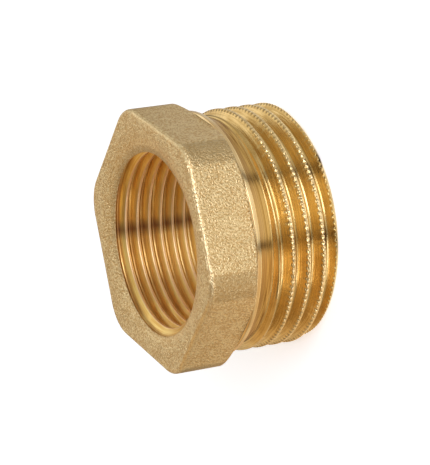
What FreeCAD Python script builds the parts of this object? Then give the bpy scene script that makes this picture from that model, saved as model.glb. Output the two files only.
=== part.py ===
import FreeCAD, Part
import math
import os
from FreeCAD import Vector

# Hexagon reducing bush in brass: a forged hexagon head with a turned collar, a male parallel pipe
# thread behind it, and a bore with a smaller female parallel pipe thread that starts at the head.
# It stands on the flat ring at its male end, with the middle of that ring at the origin and +Z
# along the bore towards the face of the head. Lengths are in millimetres and angles in degrees.

# Overall length, from the male end to the face of the head
total_length = 20.3

# Forged hexagon head
across_flats = 33.0
head_thickness = 7.5
corner_radius = 5.5
face_edge_bevel = 0.4
back_chamfer_angle = 27.0

# Turned collar that seals against the end of the socket, just behind the hexagon
collar_diameter = 33.7
collar_thickness = 0.75

# Plain neck between the collar and the first turn of the male thread
neck_diameter = 31.3
neck_length = 2.3
neck_chamfer_angle = 55.0

# Male thread, G1: 33.249 mm over its crests and 11 turns to the inch. Its groove reaches
# male_thread_end at full depth, on the +X side, and runs out over a share of a turn above that
male_thread_diameter = 33.249
male_turns_per_inch = 11.0
male_thread_end = 9.545
male_thread_run_out = 0.25
male_end_chamfer = 0.8

# Female thread, G3/4: 26.441 mm over its roots and 14 turns to the inch. The grooves at its
# mouth are closed rings, one pitch apart, and the bore behind them keeps the crest diameter
female_thread_diameter = 26.441
female_turns_per_inch = 14.0
female_first_groove = 1.34
female_groove_count = 2
female_exit_chamfer = 1.2

# Shallow dish forged round the mouth of the bore, with a softened edge
dish_diameter = 30.4
dish_angle = 21.0
dish_edge_width = 1.1

# Form of the 55 degree pipe thread, as shares of the pitch
INCH = 25.4
THREAD_ANGLE = 55.0
THREAD_DEPTH_RATIO = 0.640327
THREAD_FLAT_RATIO = 1.0 / 6.0

# Room that a cutter has outside the metal, and the sectors that each round wall is made of
CUTTER_MARGIN = 0.25
SECTORS = 4
SEWING_GAP = 0.001

NAME = "hex_reducing_bush"
AXIS = Vector(0, 0, 1)
CENTRE = Vector(0, 0, 0)


def pitch_of(turns_per_inch):
    """Length of one turn of a thread."""
    return INCH / turns_per_inch


def thread_depth(turns_per_inch):
    """Height of a thread from its root to its crest."""
    return THREAD_DEPTH_RATIO * pitch_of(turns_per_inch)


def groove_half_widths(root_radius, open_radius, turns_per_inch):
    """Half the width of a thread groove at its root and where it is open."""
    half_root = THREAD_FLAT_RATIO * pitch_of(turns_per_inch) / 2
    spread = abs(open_radius - root_radius) * math.tan(math.radians(THREAD_ANGLE / 2))
    return half_root, half_root + spread


def profile_face(points):
    """Closed half section in the XZ plane, from (radius, height) pairs in order."""
    corners = [Vector(radius, 0, height) for radius, height in points]
    return Part.Face(Part.makePolygon(corners + corners[:1]))


def turned_sectors(face):
    """The half section turned about the axis as equal sectors, side by side."""
    step = 360.0 / SECTORS
    sector = face.revolve(CENTRE, AXIS, step)
    return [sector.rotated(CENTRE, AXIS, step * index) for index in range(SECTORS)]


def groove_stretch(corners, lead, height, flare):
    """
    Skin of one stretch of a helical groove that starts at angle 0 and height 0.
    Its walls are ruled between the helices of the section's corners. The corners at the root move
    outwards at the angle flare, so that a stretch with a flare runs out of the metal.
    """
    lines = []
    for radius, offset in corners:
        widening = flare if radius == corners[0][0] else 0
        slant = 1 / math.cos(math.radians(widening))
        line = Part.makeHelix(lead * slant, height * slant, radius, widening)
        line.translate(Vector(0, 0, offset))
        lines.append(line.Edges[0])
    return [Part.makeRuledSurface(one, other) for one, other in zip(lines, lines[1:] + lines[:1])]


def helical_groove(root_radius, open_radius, turns_per_inch, turns, run_out):
    """
    Solid that a thread tool takes away: a trapezoid carried along a right-hand helix.
    Whole turns of full depth end at angle 0 and height 0. Above them the tool backs out over
    run_out, a share of a turn.
    """
    pitch = pitch_of(turns_per_inch)
    half_root, half_open = groove_half_widths(root_radius, open_radius, turns_per_inch)
    corners = [
        (root_radius, -half_root),
        (open_radius, -half_open),
        (open_radius, half_open),
        (root_radius, half_root),
    ]
    turn = groove_stretch(corners, pitch, pitch, 0)
    skin = [wall.translated(AXIS * (-pitch * index)) for index in range(1, turns + 1) for wall in turn]
    lift = open_radius - CUTTER_MARGIN / 2 - root_radius
    skin += groove_stretch(corners, pitch, pitch * run_out, math.degrees(math.atan2(lift, pitch * run_out)))

    first = [Vector(radius, 0, offset - pitch * turns) for radius, offset in corners]
    last = []
    for radius, offset in corners:
        backed_out = radius + lift if radius == root_radius else radius
        last.append(FreeCAD.Rotation(AXIS, 360 * run_out) * Vector(backed_out, 0, offset + pitch * run_out))
    skin += [Part.Face(Part.makePolygon(points + points[:1])) for points in (first, last)]

    sewn = Part.Compound(skin)
    sewn.sewShape(SEWING_GAP)
    groove = Part.Solid(sewn.Shells[0])
    if groove.Volume < 0:
        groove.reverse()
    return groove


def hexagon_head():
    """Hexagon with rounded corners, a bevelled face edge and corners chamfered behind."""
    apothem = across_flats / 2
    bottom = total_length - head_thickness
    corner = apothem / math.cos(math.pi / 6)
    points = []
    for index in range(6):
        angle = math.pi / 6 + index * math.pi / 3
        points.append(Vector(corner * math.cos(angle), corner * math.sin(angle), bottom))
    prism = Part.Face(Part.makePolygon(points + points[:1])).extrude(AXIS * head_thickness)
    upright = [edge for edge in prism.Edges if abs(edge.tangentAt(edge.FirstParameter).z) > 0.9]
    prism = prism.makeFillet(corner_radius, upright)
    face_edges = [edge for edge in prism.Edges if edge.BoundBox.ZMin > total_length - 1e-6]
    prism = prism.makeChamfer(face_edge_bevel, face_edges)

    collar_radius = collar_diameter / 2
    rise = (corner - collar_radius) * math.tan(math.radians(back_chamfer_angle))
    turned = profile_face([
        (0, bottom),
        (collar_radius, bottom),
        (corner, bottom + rise),
        (corner, total_length),
        (0, total_length),
    ]).revolve(CENTRE, AXIS, 360)
    return prism.common(turned)


def collar():
    """Plain disc behind the hexagon, a little wider than its flats."""
    bottom = total_length - head_thickness - collar_thickness
    return Part.makeCylinder(collar_diameter / 2, collar_thickness, Vector(0, 0, bottom), AXIS)


def threaded_shank():
    """Shank below the collar: neck, male thread, and chamfered end, round a core left solid."""
    top = total_length - head_thickness - collar_thickness
    crest = male_thread_diameter / 2
    neck = neck_diameter / 2
    root = crest - thread_depth(male_turns_per_inch)
    neck_bottom = top - neck_length
    core = female_thread_diameter / 4
    slope = (crest - neck) / math.tan(math.radians(neck_chamfer_angle))
    sectors = turned_sectors(profile_face([
        (core, 0),
        (crest - male_end_chamfer, 0),
        (crest, male_end_chamfer),
        (crest, neck_bottom - slope),
        (neck, neck_bottom),
        (neck, top),
        (core, top),
    ]))
    blank = sectors[0].multiFuse(sectors[1:])
    turns = math.ceil(male_thread_end / pitch_of(male_turns_per_inch)) + 1
    groove = helical_groove(root, crest + CUTTER_MARGIN, male_turns_per_inch, turns, male_thread_run_out)
    groove.translate(AXIS * male_thread_end)
    return blank.cut(groove)


def bore_section():
    """Half section of what the bore takes away: dish, bore, exit chamfer and thread grooves."""
    root = female_thread_diameter / 2
    crest = root - thread_depth(female_turns_per_inch)
    pitch = pitch_of(female_turns_per_inch)
    rim = dish_diameter / 2
    soft_rim = rim - dish_edge_width
    soft_height = total_length - dish_edge_width * math.tan(math.radians(dish_angle / 2))
    tip = soft_height - soft_rim * math.tan(math.radians(dish_angle))
    above = total_length + CUTTER_MARGIN
    dish = profile_face([(0, tip), (soft_rim, soft_height), (rim, total_length), (rim, above), (0, above)])

    mouth = crest + female_exit_chamfer
    hole = profile_face([
        (0, -CUTTER_MARGIN),
        (mouth, -CUTTER_MARGIN),
        (mouth, 0),
        (crest, female_exit_chamfer),
        (crest, above),
        (0, above),
    ])

    inside = crest - CUTTER_MARGIN
    half_root, half_open = groove_half_widths(root, inside, female_turns_per_inch)
    grooves = []
    for index in range(female_groove_count):
        height = total_length - female_first_groove - pitch * index
        grooves.append(profile_face([
            (inside, height - half_open),
            (root, height - half_root),
            (root, height + half_root),
            (inside, height + half_open),
        ]))
    return hole.multiFuse([dish] + grooves).removeSplitter().Faces[0]


def bush():
    """The whole fitting as one solid."""
    solid = hexagon_head().fuse(collar()).fuse(threaded_shank())
    solid = solid.cut(bore_section().revolve(CENTRE, AXIS, 360))
    return solid.Solids[0]


os.makedirs("parts", exist_ok=True)
shape = bush()
print(NAME, "solids", len(shape.Solids), "faces", len(shape.Faces), "valid", shape.isValid(),
      "volume", round(shape.Volume, 1))
shape.exportStep("parts/" + NAME + ".step")
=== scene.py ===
import math

import bmesh
import bpy
import numpy as np
from mathutils import Matrix, Vector


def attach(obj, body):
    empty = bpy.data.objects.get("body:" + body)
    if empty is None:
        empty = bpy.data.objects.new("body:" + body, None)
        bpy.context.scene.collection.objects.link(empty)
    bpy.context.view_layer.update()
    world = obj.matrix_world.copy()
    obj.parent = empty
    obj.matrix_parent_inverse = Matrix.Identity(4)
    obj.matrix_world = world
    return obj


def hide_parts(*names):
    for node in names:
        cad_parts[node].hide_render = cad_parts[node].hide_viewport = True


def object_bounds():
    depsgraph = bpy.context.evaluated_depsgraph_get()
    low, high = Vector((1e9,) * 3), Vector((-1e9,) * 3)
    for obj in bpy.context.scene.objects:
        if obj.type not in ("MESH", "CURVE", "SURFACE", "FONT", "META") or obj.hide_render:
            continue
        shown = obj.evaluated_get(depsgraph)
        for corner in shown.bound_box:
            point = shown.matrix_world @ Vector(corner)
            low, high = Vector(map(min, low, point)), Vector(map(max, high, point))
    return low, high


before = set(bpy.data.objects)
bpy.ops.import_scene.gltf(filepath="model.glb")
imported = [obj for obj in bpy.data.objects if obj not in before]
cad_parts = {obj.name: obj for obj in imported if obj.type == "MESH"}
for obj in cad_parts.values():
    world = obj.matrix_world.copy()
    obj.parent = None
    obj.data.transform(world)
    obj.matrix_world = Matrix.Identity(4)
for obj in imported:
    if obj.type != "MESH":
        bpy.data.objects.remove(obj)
cad_low, cad_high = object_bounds()

# Male thread and neck
# The shank that screws into the larger socket. It is turned to size, and its groove is cut by a
# die that backs out in the plain neck under the collar. The crests are knurled to hold hemp.

MM = 0.001
INCH = 25.4
total_length = cad_high.z / MM
head_thickness = 7.5
collar_radius = cad_high.x / MM
collar_thickness = 0.75
collar_back = total_length - head_thickness - collar_thickness

crest_radius = 33.249 / 2
neck_radius = 31.3 / 2
neck_length = 2.3
neck_slope_height = 0.68
neck_foot = collar_back - neck_length
crest_start = neck_foot - neck_slope_height
male_end_chamfer = 0.8

thread_pitch = INCH / 11
groove_end_height = 9.545
run_out_angle = math.pi / 2
run_out_lift = 1.7

# The 55 degree pipe thread: the lean of its flanks, its depth and its flat root as shares of the
# pitch, and how far its corners are rounded
FLANK_ANGLE = math.radians(27.5)
DEPTH_SHARE = 0.640327
FLAT_SHARE = 1 / 6
EDGE_ROUNDING = 0.045
ROOT_ROUNDING = 0.10

# The knurl: the teeth of one turn, how deep and wide its notches are, and the waves that make them
# uneven. A notch is what a cosine, swinging round its level, leaves above nothing
knurl_teeth = 130
knurl_depth = 0.27
knurl_width = 0.26
knurl_reach_down_flank = 0.5
notch_level = 0.3
notch_swing = 0.95
notch_average = 0.68
notch_wave = 0.16
slow_wave = 9.3
quick_wave = 71.3
steps_per_tooth = 5

# How finely a groove's deepest height and then its edges are looked for
TRIAL_HEIGHTS = 161
HALVINGS = 40


def soft_positive(value, rounding):
    """The value where it is positive and 0 where it is negative, with a parabola at the bend."""
    return np.maximum(value, 0) + np.maximum(rounding - np.abs(value), 0) ** 2 / (4 * rounding)


def groove_edges(depth, middle, pitch, ends):
    """
    Heights at which each turn's groove comes out of the metal, below and above its middle.
    From the groove's deepest height to half a pitch away from its middle, the stretch in which the
    depth falls to nothing is halved again and again. A turn with no groove has both edges at one
    height.
    """
    low, high = ends
    trial = np.clip(middle + np.linspace(-0.5, 0.5, TRIAL_HEIGHTS)[:, None, None] * pitch, low, high)
    deepest = np.take_along_axis(trial, np.argmax(depth(trial), axis=0)[None], axis=0)[0]
    edges = []
    for direction in (-1, 1):
        inside, outside = deepest, middle + direction * 0.5 * pitch
        for _ in range(HALVINGS):
            centre = (inside + outside) / 2
            in_groove = depth(centre) > 0
            inside = np.where(in_groove, centre, inside)
            outside = np.where(in_groove, outside, centre)
        edges.append(np.clip(np.where(depth(deepest) > 0, inside, deepest), low, high))
    return edges


def turn_rows(lower, upper, following, middle, half_flat, marks, knurled):
    """
    Heights of the rows of one turn, at every angle.
    In the groove, from its lower edge to its upper one, they lie beside the edges and the corners
    of the flat root, as far off as the corners are rounded, or nearer where the flank is short. On
    the land, up to the following groove's lower edge, they lie at the marks of the bare wall. A
    knurled wall has more rows on both sides of the groove's lower edge, to carry the notches.
    """
    root_start = np.clip(middle - half_flat, lower, upper)
    root_stop = np.clip(middle + half_flat, lower, upper)
    lower_flank = root_start - lower
    upper_flank = upper - root_stop
    root_corner = np.minimum(ROOT_ROUNDING, (root_stop - root_start) / 2)
    rows = [
        lower + np.minimum(EDGE_ROUNDING, lower_flank / 3),
        root_start - np.minimum(ROOT_ROUNDING, lower_flank / 3),
        root_start + root_corner,
        root_stop - root_corner,
        root_stop + np.minimum(ROOT_ROUNDING, upper_flank / 3),
        upper - np.minimum(EDGE_ROUNDING, upper_flank / 3),
    ]
    land_corner = np.minimum(EDGE_ROUNDING, (following - upper) / 4)
    start = upper + land_corner
    stop = following - land_corner
    land = [start, stop]
    land += [np.clip(mark, start, stop) for mark in marks if np.any((mark > start) & (mark < stop))]
    if knurled:
        rows[:1] = [
            lower,
            rows[0],
            lower + np.minimum(2 * EDGE_ROUNDING, lower_flank / 2),
            lower + np.minimum(4 * EDGE_ROUNDING, lower_flank * 0.6),
        ]
        land.append(np.minimum(start + 3 * EDGE_ROUNDING, stop))
        land.append(np.maximum(start, stop - knurl_width))
    return np.array(rows + list(np.sort(land, axis=0)))


def threaded_wall(angles, bare, marks, ends, pitch, datum, root, side, knurl=None):
    """
    Heights and radii of a round wall with a thread cut into it, one column for each angle.

    The bare wall's radius is a function of height. A groove's middle rises by one pitch in a turn
    from its datum at angle 0. Its root is flat for a sixth of the pitch, and its flanks lean by
    27.5 degrees. The wall has the bare radius or the groove's, whichever is deeper in the metal.
    side is 1 for a male thread and -1 for a female one, and all is cut off at the wall's ends.
    """
    half_flat = FLAT_SHARE * pitch / 2
    low, high = ends
    turns = np.arange(math.floor((low - datum) / pitch) - 1, math.ceil((high - datum) / pitch) + 2)
    helix = angles[None, :] + 2 * math.pi * turns[:, None]
    middle = datum + pitch * helix / (2 * math.pi)
    roots = root(helix)

    def depth(height):
        """How deep each turn's groove lies below the bare wall at a height, negative above it."""
        rise = np.maximum(np.abs(height - middle) - half_flat, 0) / math.tan(FLANK_ANGLE)
        return side * (bare(height) - roots) - rise

    lower, upper = groove_edges(depth, middle, pitch, ends)
    knurled = knurl is not None
    rows = [np.full((1, len(angles)), low)]
    for index in range(len(turns) - 1):
        rows.append(turn_rows(lower[index], upper[index], lower[index + 1], middle[index], half_flat,
                              marks, knurled))
    rows.append(np.full((1, len(angles)), high))
    height = np.clip(np.concatenate(rows), low, high)

    radius = bare(height)
    for index in range(len(turns)):
        past_flat = np.abs(height - middle[index]) - half_flat
        groove = roots[index] + side * soft_positive(past_flat, ROOT_ROUNDING) / math.tan(FLANK_ANGLE)
        radius = radius - side * soft_positive(side * (radius - groove), EDGE_ROUNDING * 2)
        if knurled:
            radius = np.minimum(radius, knurl(helix[index], height, lower[index]))
    return height, radius


def male_bare(height):
    """Radius of the turned shank before its thread is cut, in straight runs between its corners."""
    corners = [0, male_end_chamfer, crest_start, neck_foot, collar_back]
    radii = [crest_radius - male_end_chamfer, crest_radius, crest_radius, neck_radius, neck_radius]
    return np.interp(height, corners, radii)


def male_root(helix):
    """Radius of the groove's root: full depth up to angle 0, and rising out of the metal past it."""
    backed_out = np.clip(helix / run_out_angle, 0, 1) * run_out_lift
    return crest_radius - DEPTH_SHARE * thread_pitch + backed_out


def male_knurl(helix, height, crest_edge):
    """
    Largest radius that the knurl leaves near a crest's edge on its head side. The notches follow
    a clipped cosine of the helix angle, and a slow and a quick wave make them uneven. They are
    deepest on the flank's side of the edge, fade out over the knurl's width on the crest, and
    stop before the last crest under the neck.
    """
    notch = np.clip(notch_level - notch_swing * np.cos(knurl_teeth * helix), 0, 1)
    waves = np.sin(slow_wave * helix) + np.sin(quick_wave * helix + 1)
    notch = notch * (notch_average + notch_wave * waves)
    across = np.clip(1 - (crest_edge - height) / knurl_width, 0, 1)
    across = across * (height < crest_edge + knurl_reach_down_flank)
    below_neck = np.clip(-helix / run_out_angle, 0, 1)
    knurled = (across > 0) & (below_neck > 0) & (crest_edge > 0)
    touched = male_bare(crest_edge) - knurl_depth * notch * across * below_neck
    return np.where(knurled, touched, crest_radius)


def crisp_corner(height, beside=0.05):
    """Marks at a corner of the bare wall and just beside it, so that the shading turns there."""
    return [height - beside, height, height + beside]


neck_divisions = [10.6, 11.4]
male_marks = [male_end_chamfer] + crisp_corner(crest_start) + crisp_corner(neck_foot) + neck_divisions
male_angles = np.linspace(0, 2 * math.pi, knurl_teeth * steps_per_tooth + 1)
male_height, male_radius = threaded_wall(male_angles, male_bare, male_marks, (0, collar_back),
                                         thread_pitch, groove_end_height, male_root, 1, male_knurl)


# Bore with the female thread
# Drilled through the forging, chamfered at the male end and tapped from the head. Its mouth opens
# into the shallow dish of the head, so the first turns end in the dish's slope as a thin lip.

female_pitch = INCH / 14
female_root_radius = 26.441 / 2
female_crest_radius = female_root_radius - DEPTH_SHARE * female_pitch
first_turn_depth = 1.343
exit_chamfer = 1.2
dish_radius = 15.2
dish_edge_width = 1.1
dish_angle = math.radians(21)
dish_edge_radius = dish_radius - dish_edge_width
dish_edge_height = total_length - dish_edge_width * math.tan(dish_angle / 2)
dish_tip = dish_edge_height - (dish_edge_radius - female_crest_radius) * math.tan(dish_angle)


def female_bare(height):
    """Radius of the drilled bore: chamfer, straight hole, the dish's cone and its softer rim."""
    corners = [0, exit_chamfer, dish_tip, dish_edge_height, total_length]
    radii = [female_crest_radius + exit_chamfer, female_crest_radius, female_crest_radius,
             dish_edge_radius, dish_radius]
    return np.interp(height, corners, radii)


def female_root(helix):
    """The female groove has one depth all along."""
    return np.full(helix.shape, female_root_radius)


bore_angles = np.linspace(0, 2 * math.pi, knurl_teeth * steps_per_tooth // 2 + 1)

# The corners of the bare bore, with a row beside the dish's ones where its shading turns
bore_marks = [exit_chamfer, dish_tip, dish_tip + 0.25, dish_edge_height - 0.1, dish_edge_height,
              dish_edge_height + 0.07]
bore_height, bore_radius = threaded_wall(bore_angles, female_bare, bore_marks, (0, total_length),
                                         female_pitch, total_length - first_turn_depth, female_root, -1)


# Hexagon head and collar
# Forged hexagon with rounded corners, bead-blasted all over. The face is flat outside the dish, the
# corners are chamfered behind, and the collar that seals on the socket is turned bright.

across_flats = 33.0
apothem = across_flats / 2
corner_rounding = 5.5
face_edge_rounding = 0.55
back_chamfer_angle = math.radians(27)
head_back = total_length - head_thickness

# The fine groove that parts the hexagon from the collar, and below it the collar's straight wall
# and rounded edge. A row lies so far in from the collar's radius and so far down from the hexagon
parting_groove = 0.11
collar_rows = [
    (parting_groove, 0.04),
    (0.0, parting_groove),
    (0.0, 0.18),
    (0.0, collar_thickness - 0.13),
    (0.02, collar_thickness - 0.08),
    (0.07, collar_thickness - 0.03),
]
collar_edge_rounding = 0.1


def hexagon_radius(angles):
    """
    Distance from the axis to the hexagon's outline. Near a flat it is half the width across flats
    over the cosine of the angle from the flat's middle, and near a corner it is the far side of
    a circle of the corner's rounding.
    """
    sixth = math.pi / 3
    from_flat = (angles + sixth / 2) % sixth - sixth / 2
    flat_end = math.atan((apothem - corner_rounding) * math.tan(sixth / 2) / apothem)
    centre = (apothem - corner_rounding) / math.cos(sixth / 2)
    from_corner = sixth / 2 - np.abs(from_flat)
    reach = np.maximum(corner_rounding ** 2 - (centre * np.sin(from_corner)) ** 2, 0)
    arc = centre * np.cos(from_corner) + np.sqrt(reach)
    return np.where(np.abs(from_flat) < flat_end, apothem / np.cos(from_flat), arc)


def head_rows(angles):
    """
    Heights and radii of the head, one row after another: from the dish's rim over the face, round
    its edge by a quarter circle, down the flats, in along the cone of the back chamfer, round the
    collar and in along its back. The shares of a stretch at which its rows lie are close together
    at its ends, so that the stretch looks straight and its ends crisp.
    """
    outline = hexagon_radius(angles)
    level = np.ones_like(angles)
    rows = [(dish_radius * level, total_length * level)]

    inner = outline - face_edge_rounding
    for share in (0.08, 0.5, 0.95, 1.0):
        rows.append((dish_radius + (inner - dish_radius) * share, total_length * level))

    top = total_length - face_edge_rounding
    for turn in np.linspace(0, math.pi / 2, 7)[1:]:
        rows.append((inner + face_edge_rounding * math.sin(turn),
                     (top + face_edge_rounding * math.cos(turn)) * level))

    chamfer_height = head_back + np.maximum(outline - collar_radius, 0) * math.tan(back_chamfer_angle)
    bottom = np.maximum(chamfer_height, head_back + parting_groove)
    for share in (0.03, 0.25, 0.5, 0.75, 0.97, 1.0):
        rows.append((outline, top + (bottom - top) * share))

    for share in (0.06, 0.5, 0.94, 1.0):
        radius = outline + (collar_radius - outline) * share
        height = head_back + (radius - collar_radius) * math.tan(back_chamfer_angle)
        rows.append((np.where(outline > collar_radius, radius, outline),
                     np.maximum(height, head_back + parting_groove)))

    rows.append((np.minimum(outline, collar_radius - parting_groove * 2), head_back * level))
    for inward, down in collar_rows:
        rows.append(((collar_radius - inward) * level, (head_back - down) * level))

    back_edge = collar_radius - collar_edge_rounding
    for share in (0.05, 0.5, 0.9, 1.0):
        rows.append(((back_edge + (neck_radius - back_edge) * share) * level, collar_back * level))
    radius, height = (np.array(part) for part in zip(*rows))
    return height, radius


head_height, head_radius = head_rows(bore_angles)


# The whole bush
# One solid: the walls above are welded where they meet. The shank has twice the columns of the
# head, so three triangles join each pair of its columns to one column of the head.

FINISH_ORDER = ["head", "thread", "bore", "end"]
welding_distance = 0.001
end_ring_shares = [0.0, 0.06, 0.5, 0.94]


def ring_points(angles, height, radius):
    """Points at a radius and an angle round the axis, in metres."""
    return np.stack([radius * np.cos(angles), radius * np.sin(angles), height + 0 * angles], axis=-1) * MM


def grid_faces(rows, columns, first):
    """The quadrilaterals between neighbouring rows and columns of a grid numbered row by row."""
    corner = (np.arange(rows - 1)[:, None] * columns + np.arange(columns - 1)[None, :] + first).ravel()
    return np.stack([corner, corner + 1, corner + columns + 1, corner + columns], axis=1)


def stitch_faces(coarse, fine, steps):
    """Three triangles for each step of a coarse row whose fine neighbour has two steps to its one."""
    step = np.arange(steps)
    a, b = coarse + step, coarse + step + 1
    p, q, r = fine + 2 * step, fine + 2 * step + 1, fine + 2 * step + 2
    return np.concatenate([np.stack(three, axis=1) for three in ((a, p, q), (a, q, b), (b, q, r))])


end_inner = bore_radius[0]
end_outer = male_radius[0][::2]
end_rings = np.array([end_inner + (end_outer - end_inner) * share for share in end_ring_shares])
walls = [
    ("thread", ring_points(male_angles, male_height, male_radius)),
    ("bore", ring_points(bore_angles, bore_height, bore_radius)),
    ("head", ring_points(bore_angles, head_height, head_radius)),
    ("end", ring_points(bore_angles, 0 * end_rings, end_rings)),
]

points, faces, finishes, first_of, last_row_of = [], [], [], {}, {}
count = 0
for name, wall in walls:
    rows, columns = wall.shape[:2]
    first_of[name] = count
    last_row_of[name] = count + (rows - 1) * columns
    new_faces = grid_faces(rows, columns, count)
    points.append(wall.reshape(-1, 3))
    faces.append(new_faces)
    finishes.append((name, len(new_faces)))
    count += rows * columns

bore_steps = len(bore_angles) - 1
stitches = np.concatenate([
    stitch_faces(last_row_of["end"], first_of["thread"], bore_steps),
    stitch_faces(last_row_of["head"], last_row_of["thread"], bore_steps),
])
finishes.append(("end", len(stitches)))

mesh = bpy.data.meshes.new("hex_reducing_bush_brass")
all_faces = [face for part in faces for face in part.tolist()] + stitches.tolist()
mesh.from_pydata(np.concatenate(points).tolist(), [], all_faces)
mesh.polygons.foreach_set("material_index", np.concatenate(
    [np.full(number, FINISH_ORDER.index(name)) for name, number in finishes]).astype(np.int32))

shell = bmesh.new()
shell.from_mesh(mesh)
bmesh.ops.remove_doubles(shell, verts=shell.verts, dist=welding_distance * MM)
bmesh.ops.recalc_face_normals(shell, faces=shell.faces)
bmesh.ops.triangulate(shell, faces=shell.faces)
shell.to_mesh(mesh)
shell.free()
mesh.polygons.foreach_set("use_smooth", np.ones(len(mesh.polygons), bool))

bush = bpy.data.objects.new("hex_reducing_bush_brass", mesh)
bpy.context.scene.collection.objects.link(bush)
weighted = bush.modifiers.new("even_shading", "WEIGHTED_NORMAL")
weighted.mode = "FACE_AREA"
weighted.weight = 50

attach(bush, "root")
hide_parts("hex_reducing_bush")


# Finishes of the brass
# All of it is one alloy. The forging is blasted to a fine grain, and what the tools have cut is
# bright, with rings of tool marks, and painted shade down in the roots of the bore's grooves.

class Signal:
    """A shader socket that takes part in arithmetic: each operator adds the Math node for it."""

    def __init__(self, shading, socket):
        self.shading, self.socket = shading, socket

    def _math(self, operation, *values):
        return self.shading.node("ShaderNodeMath", {"operation": operation}, dict(enumerate(values)))

    def __add__(self, other):
        return self._math("ADD", self, other)

    def __sub__(self, other):
        return self._math("SUBTRACT", self, other)

    def __mul__(self, other):
        return self._math("MULTIPLY", self, other)

    def __truediv__(self, other):
        return self._math("DIVIDE", self, other)

    def __rsub__(self, other):
        return self._math("SUBTRACT", other, self)

    __radd__ = __add__
    __rmul__ = __mul__

    def size(self):
        """The value without its sign."""
        return self._math("ABSOLUTE", self)

    def or_more(self, other):
        """The larger of two values."""
        return self._math("MAXIMUM", self, other)

    def cosine(self):
        """The cosine of an angle in radians."""
        return self._math("COSINE", self)

    def past_whole(self):
        """What is left of the value past the whole number below it."""
        return self._math("FRACT", self)

    def angle_from(self, x):
        """The angle round the axis, in radians, of a point that has this y."""
        return self._math("ARCTAN2", self, x)

    def between(self, low, high):
        """0 up to low, 1 from high on, and straight between."""
        inputs = {"Value": self, "From Min": low, "From Max": high}
        return self.shading.node("ShaderNodeMapRange", {}, inputs)

    def between_mm(self, low, high):
        """The same for a length, with its limits in millimetres."""
        return self.between(low * MM, high * MM)


class Shading:
    """The nodes of a material or of the room."""

    def __init__(self, owner):
        owner.use_nodes = True
        self.tree = owner.node_tree

    def node(self, kind, settings, inputs, output=0):
        """Adds a node: its settings first, then the values or links of its sockets."""
        made = self.tree.nodes.new(kind)
        for key, value in settings.items():
            setattr(made, key, value)
        self.fill(made, inputs)
        return Signal(self, made.outputs[output])

    def fill(self, node, inputs):
        """Sets or links the sockets of a node."""
        for key, value in inputs.items():
            if isinstance(value, Signal):
                self.tree.links.new(value.socket, node.inputs[key])
            else:
                node.inputs[key].default_value = value

    def place(self):
        """The point on the object, in metres."""
        return self.node("ShaderNodeTexCoord", {}, {}, "Object")

    def parts(self, vector):
        """The three components of a vector."""
        first = self.node("ShaderNodeSeparateXYZ", {}, {"Vector": vector})
        return [Signal(self, socket) for socket in first.socket.node.outputs]

    def vector(self, x, y, z):
        """A vector of three components."""
        return self.node("ShaderNodeCombineXYZ", {}, {"X": x, "Y": y, "Z": z})

    def length(self, vector):
        """How long a vector is."""
        return self.node("ShaderNodeVectorMath", {"operation": "LENGTH"}, {0: vector}, "Value")

    def noise(self, size, detail, place=None):
        """Noise with features of about a size in millimetres."""
        inputs = {"Vector": place or self.place(), "Scale": 1 / (size * MM), "Detail": detail}
        return self.node("ShaderNodeTexNoise", {}, inputs)

    def mix(self, share, first, second):
        """A colour between two colours."""
        return self.node("ShaderNodeMix", {"data_type": "RGBA"}, {"Factor": share, 6: first, 7: second}, 2)

    def bump(self, height, depth):
        """Surface relief whose full height is a depth in millimetres."""
        return self.node("ShaderNodeBump", {}, {"Height": height, "Distance": depth * MM})


def new_finish(name):
    """A material and its nodes, with the sockets of its surface."""
    material = bpy.data.materials.new(name)
    shading = Shading(material)
    return material, shading, shading.tree.nodes["Principled BSDF"]


grain_low = (0.75, 0.49, 0.20, 1)
grain_high = (1.0, 0.77, 0.40, 1)
# Painted shade for the rounded corners between the flats
painted_corner_shade = (0.52, 0.36, 0.16, 1)
worn_edge = (1.0, 0.79, 0.44, 1)
# Painted shade for the joint where the hexagon meets the collar
painted_joint_shade = (0.36, 0.24, 0.10, 1)
corner_past_flat = 1.7


def blasted_brass():
    """
    Blasted forging: tiny dents all over, with light and dark specks and a soft mottle. The corners
    between the flats have painted shade below the face, the rim of the face is worn a little
    brighter, and a fine line of painted shade lies where the hexagon meets the collar. How far a
    point lies towards a flat is the largest of its distances from the axis along the middle lines
    of the three pairs of flats.
    """
    material, shading, surface = new_finish("blasted_brass")
    x, y, z = shading.parts(shading.place())
    relief = shading.noise(0.3, 1.0) + 0.25 * shading.noise(0.15, 0.0)
    mottle = shading.noise(1.6, 3.0)
    light = (relief + 0.35 * (mottle - 0.5)).between(0.5, 0.74)

    slanted = y * math.sin(math.pi / 3)
    to_flat = x.size().or_more((x * 0.5 + slanted).size()).or_more((x * 0.5 - slanted).size())
    to_rim = to_flat.or_more(shading.length(shading.vector(x, y, 0.0)) - corner_past_flat * MM)
    worn = to_rim.between_mm(apothem - 0.5, apothem - 0.3)
    worn = worn * z.between_mm(total_length - 0.5, total_length - 0.3)
    on_corner = 1 - to_flat.between_mm(apothem - 0.12, apothem - 0.03)
    below_face = (z * -1).between_mm(0.5 - total_length, 0.8 - total_length)
    on_joint = 1 - (z - (head_back + 0.02) * MM).size().between_mm(0.04, 0.09)

    colour = shading.mix(light, grain_low, grain_high)
    # Painted shade on the rounded corners, below the face
    colour = shading.mix(on_corner * below_face * 0.55, colour, painted_corner_shade)
    # Painted shade in the joint under the hexagon
    colour = shading.mix(on_joint, colour, painted_joint_shade)
    colour = shading.mix(worn * 0.3, colour, worn_edge)
    shading.fill(surface, {
        "Base Color": colour,
        "Metallic": 1.0,
        "Roughness": 0.46 - 0.1 * light - 0.04 * worn,
        "Normal": shading.bump(relief * (1 - 0.6 * worn), 0.2),
    })
    return material


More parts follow.
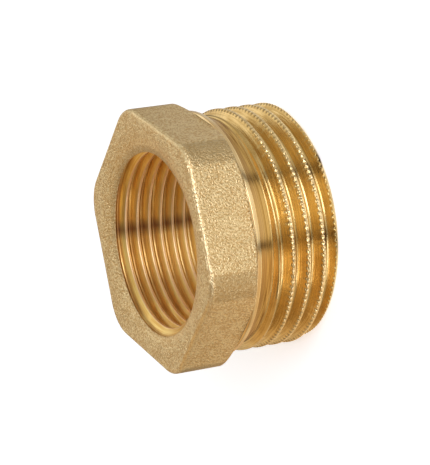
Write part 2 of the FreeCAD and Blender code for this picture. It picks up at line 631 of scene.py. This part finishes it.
class TurnedBrass:
    """
    A finish of turned brass. The tool's marks are noise over the distance from the axis and the
    height, and only slowly over x, so that they run round as rings which waver a little. share is
    1 where the marks and the tarnish leave the brass bright, and the rest is duller and rougher.
    """

    def __init__(self, name, dull, bright, roughness, marks_depth):
        self.material, self.shading, self.surface = new_finish(name)
        self.x, self.y, self.z = self.shading.parts(self.shading.place())
        self.reach = self.shading.length(self.shading.vector(self.x, self.y, 0.0))
        marks = self.shading.noise(0.2, 3.0, self.shading.vector(self.x * 0.05, self.reach, self.z))
        tarnish = self.shading.noise(3.0, 3.0)
        self.share = (marks + 0.6 * (tarnish - 0.5)).between(0.35, 0.65)
        self.colour = self.shading.mix(self.share, dull, bright)
        self.shading.fill(self.surface, {
            "Base Color": self.colour,
            "Metallic": 1.0,
            "Roughness": roughness + 0.10 * (1 - self.share),
            "Normal": self.shading.bump(marks, marks_depth),
        })


cut_dull = (0.66, 0.42, 0.13, 1)
cut_bright = (0.90, 0.63, 0.25, 1)
crest_rubbed = (1.0, 0.74, 0.36, 1)
crest_crumbs = (0.42, 0.25, 0.09, 1)
painted_notch_shade = (0.32, 0.17, 0.05, 1)
neck_ring_dark = (0.40, 0.20, 0.04, 1)
neck_ring_light = (0.86, 0.54, 0.17, 1)
# Painted shade of the collar on the neck, and the heights over which it comes in
painted_collar_shade = (0.58, 0.34, 0.12, 1)
collar_shade_start = 10.6
collar_shade_full = 10.9


def thread_finish():
    """
    The male thread, rubbed bright on its crests with dark crumbs, and the ringed neck, with painted
    shade towards the collar. The knurl's notches have painted shade: they follow the cosine of the
    knurl, and turn, the number of turns above the groove's middle line, tells the groove's lower
    flank from its upper one, because its part past the whole number is over a half on the lower one.
    """
    brass = TurnedBrass("cut_thread_brass", cut_dull, cut_bright, 0.19, 0.035)
    shading, reach, z = brass.shading, brass.reach, brass.z
    rubbed = reach.between_mm(crest_radius - 0.14, crest_radius - 0.04)
    colour = shading.mix(rubbed, brass.colour, crest_rubbed)
    crumbs = shading.noise(0.3, 1.0).between(0.54, 0.62)
    colour = shading.mix(crumbs * rubbed * 0.5, colour, crest_crumbs)

    angle = brass.y.angle_from(brass.x)
    in_notch = (notch_level - notch_swing * (angle * knurl_teeth).cosine()).between(0.2, 0.8)
    in_notch = in_notch * reach.between_mm(crest_radius - 0.45, crest_radius - 0.3)
    in_notch = in_notch * (1 - reach.between_mm(crest_radius - 0.1, crest_radius - 0.03))
    turn = (z / MM - groove_end_height) / thread_pitch - angle / (2 * math.pi)
    in_notch = in_notch * turn.past_whole().between(0.5, 0.52)
    in_notch = in_notch * (1 - z.between_mm(crest_start - 0.02, crest_start + 0.02))
    # Painted shade in the knurl's notches
    colour = shading.mix(in_notch * 0.35, colour, painted_notch_shade)

    rings = shading.noise(0.13, 1.0, shading.vector(brass.x * 0.04, 0.0, z)).between(0.38, 0.62)
    neck_colour = shading.mix(rings, neck_ring_dark, neck_ring_light)
    colour = shading.mix(z.between_mm(neck_foot, neck_foot + 0.3), colour, neck_colour)
    # Painted shade on the neck towards the collar
    under_collar_shade = z.between_mm(collar_shade_start, collar_shade_full) * (0.4 + 0.6 * (1 - brass.share))
    shading.fill(brass.surface, {"Base Color": shading.mix(under_collar_shade, colour, painted_collar_shade)})
    return brass.material


tap_dull = (0.84, 0.51, 0.13, 1)
tap_bright = (1.0, 0.72, 0.24, 1)
painted_crest_sheen = (0.94, 0.63, 0.31, 1)
painted_deep_light = (1.0, 0.76, 0.30, 1)
painted_root_shade = (0.40, 0.17, 0.05, 1)
# Painted dark reflection along the bore, with its angle and half width
painted_dark_reflection = (0.25, 0.09, 0.04, 1)
reflection_streak_angle = math.radians(345)
reflection_streak_half_width = 1.4


def bore_finish():
    """
    The tapped bore: coppery flanks, painted shade down in the roots that thins out deep in the
    bore, painted light deep in the bore, crests painted paler as a painted sheen, and one painted
    streak of dark reflection along it. The streak fades with the distance from a line through the
    axis, on the line's side where x is positive.
    """
    brass = TurnedBrass("tapped_bore_brass", tap_dull, tap_bright, 0.29, 0.03)
    shading, reach, share = brass.shading, brass.reach, brass.share
    on_crest = 1 - reach.between_mm(female_crest_radius + 0.03, female_crest_radius + 0.2)
    near_mouth = brass.z.between_mm(5, 15)
    in_root = reach.between_mm(female_root_radius - 0.5, female_root_radius - 0.12)
    in_root = in_root * (0.2 + 0.8 * near_mouth)
    # Painted dark reflection: a streak along the bore
    from_streak = (brass.y * math.cos(reflection_streak_angle) - brass.x * math.sin(reflection_streak_angle)).size()
    on_reflection_streak = (1 - from_streak.between_mm(0.0, reflection_streak_half_width)) * brass.x.between_mm(0.0, 1)

    # Painted sheen on the bore's crests
    colour = shading.mix(on_crest, brass.colour, painted_crest_sheen)
    # Painted light deep in the bore, on the flanks
    colour = shading.mix((1 - near_mouth) * (1 - on_crest), colour, painted_deep_light)
    # Painted shade in the roots, less of it deep in the bore
    colour = shading.mix(in_root * (0.8 - 0.4 * share), colour, painted_root_shade)
    shading.fill(brass.surface, {
        "Base Color": shading.mix(on_reflection_streak * (0.7 - 0.35 * on_crest), colour, painted_dark_reflection),
        "Roughness": 0.29 + 0.10 * (1 - share) + 0.10 * on_crest + 0.08 * in_root,
    })
    return brass.material


faced_dull = (0.82, 0.55, 0.24, 1)
faced_bright = (1.0, 0.75, 0.38, 1)


def faced_finish():
    """The collar and the end ring, faced bright."""
    return TurnedBrass("faced_brass", faced_dull, faced_bright, 0.21, 0.02).material


for material in (blasted_brass(), thread_finish(), bore_finish(), faced_finish()):
    mesh.materials.append(material)

# The collar is turned and the dish is blasted, which is told from where each triangle lies
middles = np.empty(len(mesh.polygons) * 3)
mesh.polygons.foreach_get("center", middles)
middles = middles.reshape(-1, 3) / MM
finish_of = np.empty(len(mesh.polygons), np.int32)
mesh.polygons.foreach_get("material_index", finish_of)
blasted, tapped, faced = (FINISH_ORDER.index(name) for name in ("head", "bore", "end"))
finish_of[(finish_of == blasted) & (middles[:, 2] < head_back)] = faced
on_bare_bore = np.hypot(middles[:, 0], middles[:, 1]) > female_bare(middles[:, 2]) - 0.02
finish_of[(finish_of == tapped) & (middles[:, 2] > dish_tip) & on_bare_bore] = blasted
mesh.polygons.foreach_set("material_index", finish_of)


# Studio
# A pale floor in a white tent, with three soft lamps. The seams of the tent are dark, and they run
# level in the picture, so the thread and the bore show them as dark bands along the axis.

BLACK = (0, 0, 0, 1)
floor_half = 1.5
floor_white = (0.93, 0.93, 0.93, 1)
floor_glow = (0.5, 0.5, 0.5, 1)

# What the brass mirrors of the floor, a painted reflection that the floor glows with for mirror rays
# alone, where lower and upper are as in the picture: white, a warm patch beside the bush, both
# sides in painted shade and the far side dark
mirrored_white = (1.0, 1.0, 1.0, 1)
mirrored_warm = (0.86, 0.68, 0.48, 1)
mirrored_warmer = (0.74, 0.50, 0.28, 1)
mirrored_lower_side = (0.62, 0.53, 0.42, 1)
mirrored_upper_side = (0.58, 0.57, 0.56, 1)
mirrored_far_side = (0.22, 0.22, 0.20, 1)
mirrored_seam = (0.06, 0.04, 0.03, 1)

# Dark stripes of the floor, which the brass mirrors as seams of the tent: where each starts, in
# millimetres, which way it runs and how wide it is. The last one lies under the bore alone
lower_stripe_start = (-15.3, 4.3)
lower_stripe_azimuth = math.radians(153.8)
upper_stripe_start = (-15.1, -5.0)
upper_stripe_azimuth = math.radians(223)
thread_stripe_half_width = 2.0
bore_stripe_start = (12.6, -3.4)
bore_stripe_azimuth = math.radians(153)
bore_stripe_half_width = 1.6
bore_floor_radius = 12.0

corners = [(-floor_half, -floor_half, 0), (floor_half, -floor_half, 0),
           (floor_half, floor_half, 0), (-floor_half, floor_half, 0)]
floor_mesh = bpy.data.meshes.new("floor")
floor_mesh.from_pydata(corners, [], [(0, 1, 2, 3)])
floor = bpy.data.objects.new("floor", floor_mesh)
bpy.context.scene.collection.objects.link(floor)

floor_finish, shading, surface = new_finish("floor_white")
mirror_rays = shading.node("ShaderNodeLightPath", {}, {}, "Is Glossy Ray")
camera_rays = Signal(shading, mirror_rays.socket.node.outputs["Is Camera Ray"])
floor_x, floor_y = shading.parts(shading.place())[:2]


def floor_stripe(start, azimuth, half_width):
    """
    1 on a stripe of the floor. A point's way from the start is split into a part across the stripe,
    which is small on it and fades out at its sides, and a part along it, which is positive on it.
    """
    x, y = floor_x - start[0] * MM, floor_y - start[1] * MM
    across = y * math.cos(azimuth) - x * math.sin(azimuth)
    along = x * math.cos(azimuth) + y * math.sin(azimuth)
    return (1 - across.size().between_mm(half_width * 0.5, half_width * 1.5)) * along.between_mm(0.0, 0.5)


under_bore = 1 - shading.length(shading.place()).between_mm(bore_floor_radius, bore_floor_radius + 0.8)
stripes = floor_stripe(lower_stripe_start, lower_stripe_azimuth, thread_stripe_half_width)
stripes = stripes + floor_stripe(upper_stripe_start, upper_stripe_azimuth, thread_stripe_half_width)
bore_stripe = floor_stripe(bore_stripe_start, bore_stripe_azimuth, bore_stripe_half_width)
stripes = stripes + bore_stripe * under_bore
close_below = floor_y.between_mm(13, 18)
far_below = close_below * floor_x.between_mm(2, 10)
mirrored = shading.mix(close_below, mirrored_white, mirrored_warm)
mirrored = shading.mix(far_below, mirrored, mirrored_warmer)
mirrored = shading.mix(floor_y.between_mm(22, 36), mirrored, mirrored_lower_side)
mirrored = shading.mix((floor_y * -1).between_mm(10, 28), mirrored, mirrored_upper_side)
mirrored = shading.mix(floor_x.between_mm(22, 40), mirrored, mirrored_far_side)
mirrored = shading.mix(stripes, mirrored, mirrored_seam)
# The floor glows with the painted reflection for mirror rays, and evenly for camera rays
shading.fill(surface, {
    "Base Color": shading.mix(mirror_rays, floor_white, BLACK),
    "Roughness": 0.9,
    "Specular IOR Level": 0.0,
    "Emission Color": shading.mix(mirror_rays, shading.mix(camera_rays, BLACK, floor_glow), mirrored),
    "Emission Strength": 1.0,
})
floor_mesh.materials.append(floor_finish)

# The tent: grey in front and bright behind, shaded at the lower side and overhead, with a patch of
# warm light. Its seams lie where a direction points so far along the seam's axis
tent_front = (0.54, 0.54, 0.53, 1)
tent_behind = (1.08, 1.03, 0.95, 1)
tent_lower_side = (0.46, 0.40, 0.33, 1)
tent_overhead = (0.20, 0.17, 0.14, 1)
tent_warm_patch = (0.62, 0.44, 0.25, 1)
tent_seam_colour = (0.03, 0.02, 0.02, 1)
lower_seam_axis = Vector((-0.265, -0.964, 0))
lower_seam_level = -0.16
upper_seam_axis = Vector((0.314, -0.949, 0))
upper_seam_level = 0.37
seam_half_width = 0.07

world = bpy.data.worlds.new("tent")
bpy.context.scene.world = world
shading = Shading(world)
direction = shading.node("ShaderNodeTexCoord", {}, {}, "Generated")


def towards(x, y, z):
    """How far a direction of the room points along an axis, from -1 to 1."""
    inputs = {0: direction, 1: Vector((x, y, z))}
    return shading.node("ShaderNodeVectorMath", {"operation": "DOT_PRODUCT"}, inputs, "Value")


def tent_seam(axis, level):
    """1 on a seam: a band of directions that point equally far along an axis."""
    return 1 - (towards(*axis) - level).size().between(seam_half_width * 0.7, seam_half_width * 1.3)


low_down = 1 - towards(0, 0, 1).between(0.45, 0.7)
seams = tent_seam(lower_seam_axis, lower_seam_level)
seams = seams + tent_seam(upper_seam_axis, upper_seam_level) * low_down
tent = shading.mix(towards(0.78, 0.45, 0.43).between(0.1, 1.0), tent_front, tent_behind)
tent = shading.mix(towards(0.2, 0.98, 0).between(0.2, 0.9), tent, tent_lower_side)
tent = shading.mix(towards(0.17, 0.47, 0.87).between(0.78, 0.93), tent, tent_overhead)
tent = shading.mix(towards(0.56, 0.57, 0.60).between(0.86, 0.97), tent, tent_warm_patch)
shading.fill(shading.tree.nodes["Background"], {
    "Color": shading.mix(seams, tent, tent_seam_colour),
    "Strength": 1.0,
})

lamp_tint = (0.94, 1.0, 1.26)


def outwards(azimuth, elevation):
    """The direction from the bush at an azimuth and an elevation."""
    return Vector((math.cos(elevation) * math.cos(azimuth), math.cos(elevation) * math.sin(azimuth),
                   math.sin(elevation)))


def softbox(name, azimuth, elevation, distance, width, height, brightness):
    """
    A rectangular lamp in a direction from the bush's middle, turned towards it, with its angles in
    degrees. Its power is its brightness times pi times its area, so its size only softens it.
    """
    data = bpy.data.lights.new(name, "AREA")
    data.shape = "RECTANGLE"
    data.size = width
    data.size_y = height
    data.energy = brightness * math.pi * width * height
    data.color = lamp_tint
    lamp = bpy.data.objects.new(name, data)
    bpy.context.scene.collection.objects.link(lamp)
    from_bush = outwards(math.radians(azimuth), math.radians(elevation))
    lamp.location = from_bush * distance + Vector((0, 0, total_length / 2 * MM))
    lamp.rotation_mode = "QUATERNION"
    lamp.rotation_quaternion = from_bush.to_track_quat("Z", "Y")


softbox("upper_softbox", 194, 34, distance=0.6, width=0.34, height=0.34, brightness=3.8)
softbox("lower_softbox", 128, 12, distance=0.6, width=0.4, height=0.16, brightness=2.4)
softbox("back_softbox", 314, 36, distance=0.7, width=0.42, height=0.42, brightness=0.32)

# Camera of the photograph: it looks down at the bush and is rolled, so that the bush lies on its side
camera_azimuth = math.radians(174.8107)
camera_elevation = math.radians(26.1476)
camera_roll = math.radians(-98.829)
camera_distance = 334.415
lens_length = 189.405
sensor_width = 36
camera_aim = Vector((0.0589, 0.1371, 10.2443)) * MM
forward = -outwards(camera_azimuth, camera_elevation)
level_right = forward.cross(Vector((0, 0, 1))).normalized()
level_up = level_right.cross(forward)
right = level_right * math.cos(camera_roll) + level_up * math.sin(camera_roll)
up = level_up * math.cos(camera_roll) - level_right * math.sin(camera_roll)

lens = bpy.data.cameras.new("photo_camera")
lens.sensor_width = sensor_width
lens.lens = lens_length
camera = bpy.data.objects.new("photo_camera", lens)
bpy.context.scene.collection.objects.link(camera)
turned = Matrix((right, up, -forward)).transposed()
camera.rotation_mode = "QUATERNION"
camera.rotation_quaternion = turned.to_quaternion()
camera.location = camera_aim - forward * camera_distance * MM
bpy.context.scene.camera = camera
bpy.context.scene.view_settings.view_transform = "Standard"
